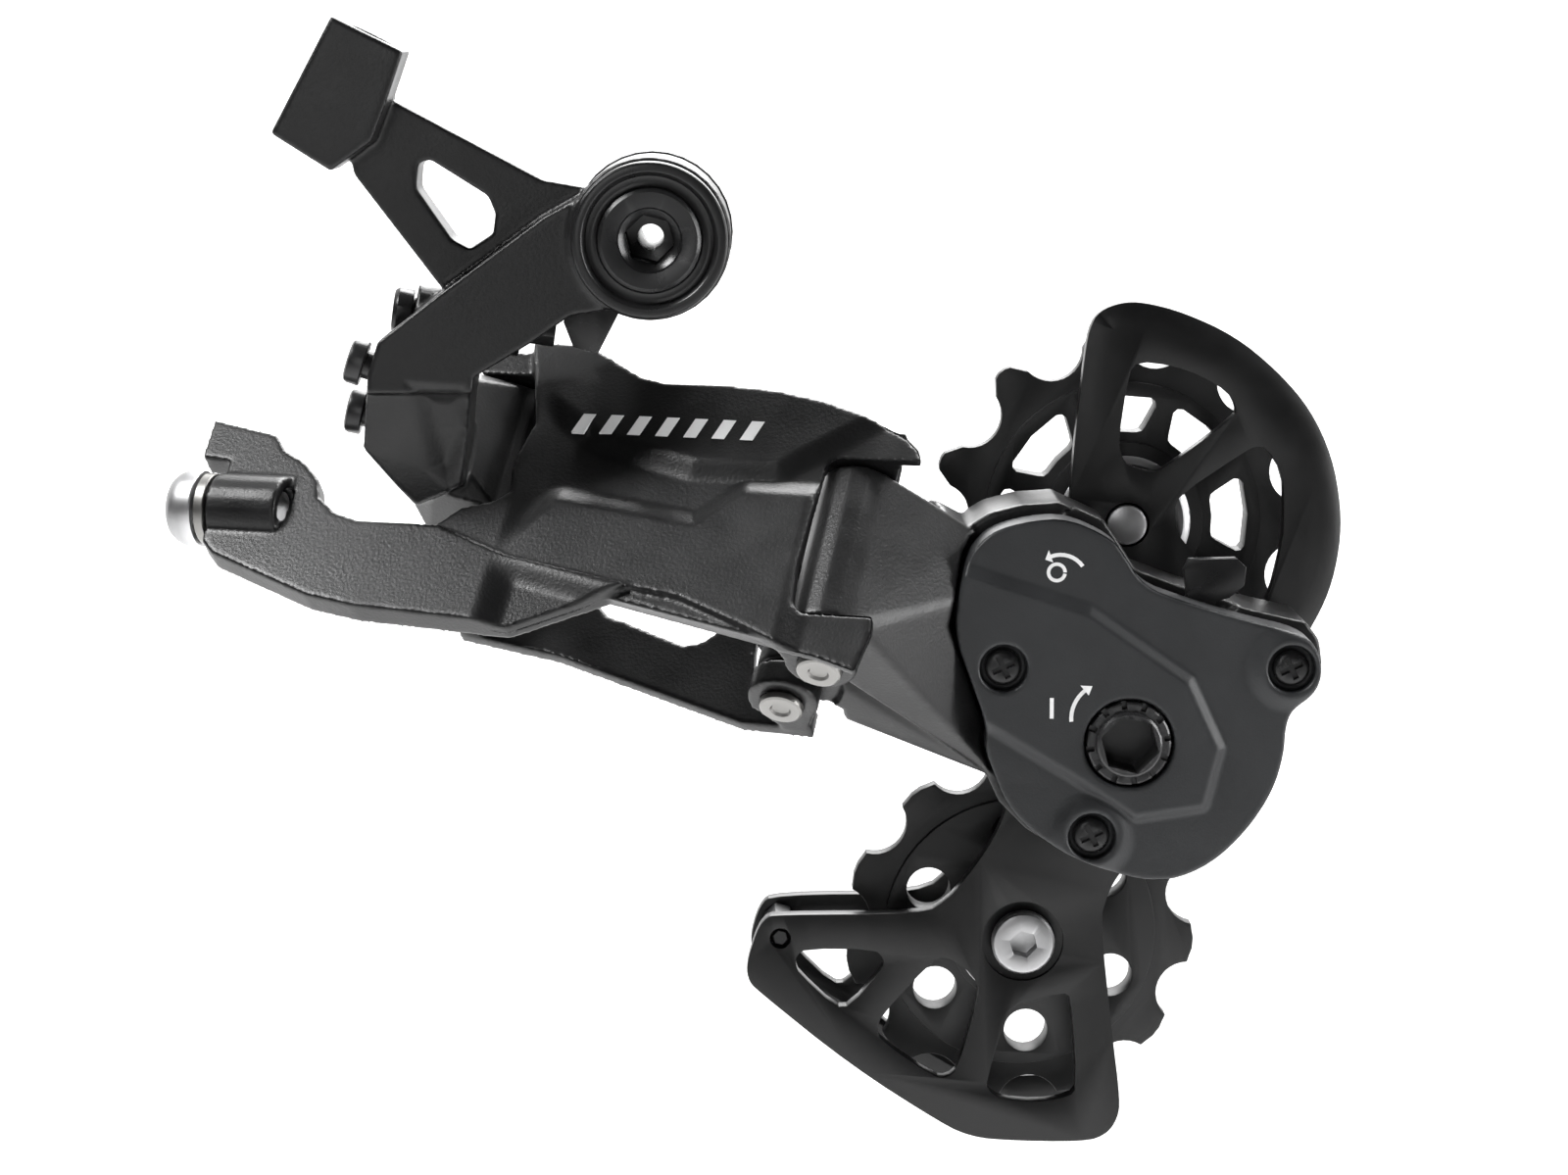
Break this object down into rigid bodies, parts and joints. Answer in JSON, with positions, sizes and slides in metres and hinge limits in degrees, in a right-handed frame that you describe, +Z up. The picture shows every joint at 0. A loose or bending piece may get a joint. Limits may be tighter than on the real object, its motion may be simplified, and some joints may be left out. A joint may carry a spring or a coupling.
{
  "type": "rear bicycle derailleur",
  "caption": "Rear derailleur with a slant parallelogram, a clutch housing with a switch lever, a cable stop and a sprung cage that carries toothed guide and tension pulleys.",
  "frame": {"origin": "on the mounting bolt's axis, in the plane of the hanger's outer face", "axes": "+Y into the hanger towards the wheel, +Z up, +X to the side that the chain cage hangs on (forward on the bicycle)"},
  "size_m": [0.1398, 0.0591, 0.1373],
  "materials": {
    "black_paint": "satin black powder coat with a fine texture on cast aluminium",
    "grey_paint": "satin dark grey metallic paint",
    "black_plate": "semi-gloss black coat on sheet aluminium",
    "black_plastic": "moulded black resin",
    "bright_steel": "turned steel",
    "silver_alloy": "silver, fine blasted",
    "black_steel": "black oxide on steel",
    "spring_steel": "drawn spring wire"
  },
  "bodies": {
    "hanger_side": {"mounting_bolt": "black_steel", "stop_plate": "black_steel"},
    "b_knuckle_body": {"b_knuckle": "black_paint", "b_screw": "black_steel", "knuckle_bush": "bright_steel", "limit_screw_1": "black_steel", "limit_screw_2": "black_steel"},
    "outer_link_body": {"outer_link": "black_paint", "outer_pin_b": "bright_steel", "outer_pin_p": "bright_steel", "anchor_washer": "bright_steel", "anchor_bolt": "silver_alloy"},
    "inner_link_body": {"inner_link": "black_paint", "inner_pin_b": "bright_steel"},
    "p_knuckle_body": {"p_knuckle": "black_paint", "clutch_cover": "grey_paint", "clutch_band": "spring_steel", "inner_pin_p": "bright_steel", "return_spring": "spring_steel", "cage_spring": "spring_steel", "cover_screw_1": "black_steel", "cover_screw_2": "black_steel", "cover_screw_3": "black_steel"},
    "clutch_switch": {"clutch_spindle": "black_steel", "clutch_lever": "black_steel"},
    "cage": {"cage_outer_plate": "black_plate", "cage_inner_plate": "black_plate", "cage_axle": "bright_steel", "cage_spacer": "black_steel", "clutch_drum": "bright_steel", "guide_bolt": "silver_alloy", "tension_bolt": "silver_alloy", "guide_bush": "bright_steel", "tension_bush": "bright_steel", "guide_cap_outer": "silver_alloy", "guide_cap_inner": "silver_alloy", "tension_cap_outer": "silver_alloy", "tension_cap_inner": "silver_alloy"},
    "guide_wheel": {"guide_pulley": "black_plastic"},
    "tension_wheel": {"tension_pulley": "black_plastic"}
  },
  "joints": [
    {"name": "b_pivot", "type": "hinge", "parent": "hanger_side", "child": "b_knuckle_body", "pos_m": [0, 0, 0], "axis": [0, 1, 0], "range_deg": [0, 25]},
    {"name": "outer_link_pivot", "type": "hinge", "parent": "b_knuckle_body", "child": "outer_link_body", "pos_m": [-0.0204, -0.014, -0.041], "axis": [0.2044, 0.6862, 0.6981], "range_deg": [0, 45], "stiffness_Nm_per_rad": 0.6, "springref_deg": -45.84},
    {"name": "inner_link_pivot", "type": "hinge", "parent": "b_knuckle_body", "child": "inner_link_body", "pos_m": [-0.025, -0.004, -0.04948], "axis": [0.2044, 0.6862, 0.6981], "range_deg": [0, 45]},
    {"name": "p_knuckle_pivot", "type": "hinge", "parent": "outer_link_body", "child": "p_knuckle_body", "pos_m": [0.02031, -0.02545, -0.04167], "axis": [0.2044, 0.6862, 0.6981], "range_deg": [-45, 0]},
    {"name": "cage_pivot", "type": "hinge", "parent": "p_knuckle_body", "child": "cage", "pos_m": [0.0547, 0, -0.0576], "axis": [0, -1, 0], "range_deg": [0, 50], "stiffness_Nm_per_rad": 0.25, "springref_deg": -45.84},
    {"name": "clutch_switch_pivot", "type": "hinge", "parent": "p_knuckle_body", "child": "clutch_switch", "pos_m": [0.0547, 0, -0.0576], "axis": [0, -1, 0], "range_deg": [0, 30]},
    {"name": "guide_pulley_spin", "type": "hinge", "parent": "cage", "child": "guide_wheel", "pos_m": [0.0567, 0.009, -0.0354], "axis": [0, 1, 0], "continuous": true},
    {"name": "tension_pulley_spin", "type": "hinge", "parent": "cage", "child": "tension_wheel", "pos_m": [0.0447, 0.009, -0.0869], "axis": [0, 1, 0], "continuous": true}
  ],
  "couplings": [
    {"joint": "inner_link_pivot", "follows": "outer_link_pivot", "ratio": 1},
    {"joint": "p_knuckle_pivot", "follows": "outer_link_pivot", "ratio": -1}
  ]
}
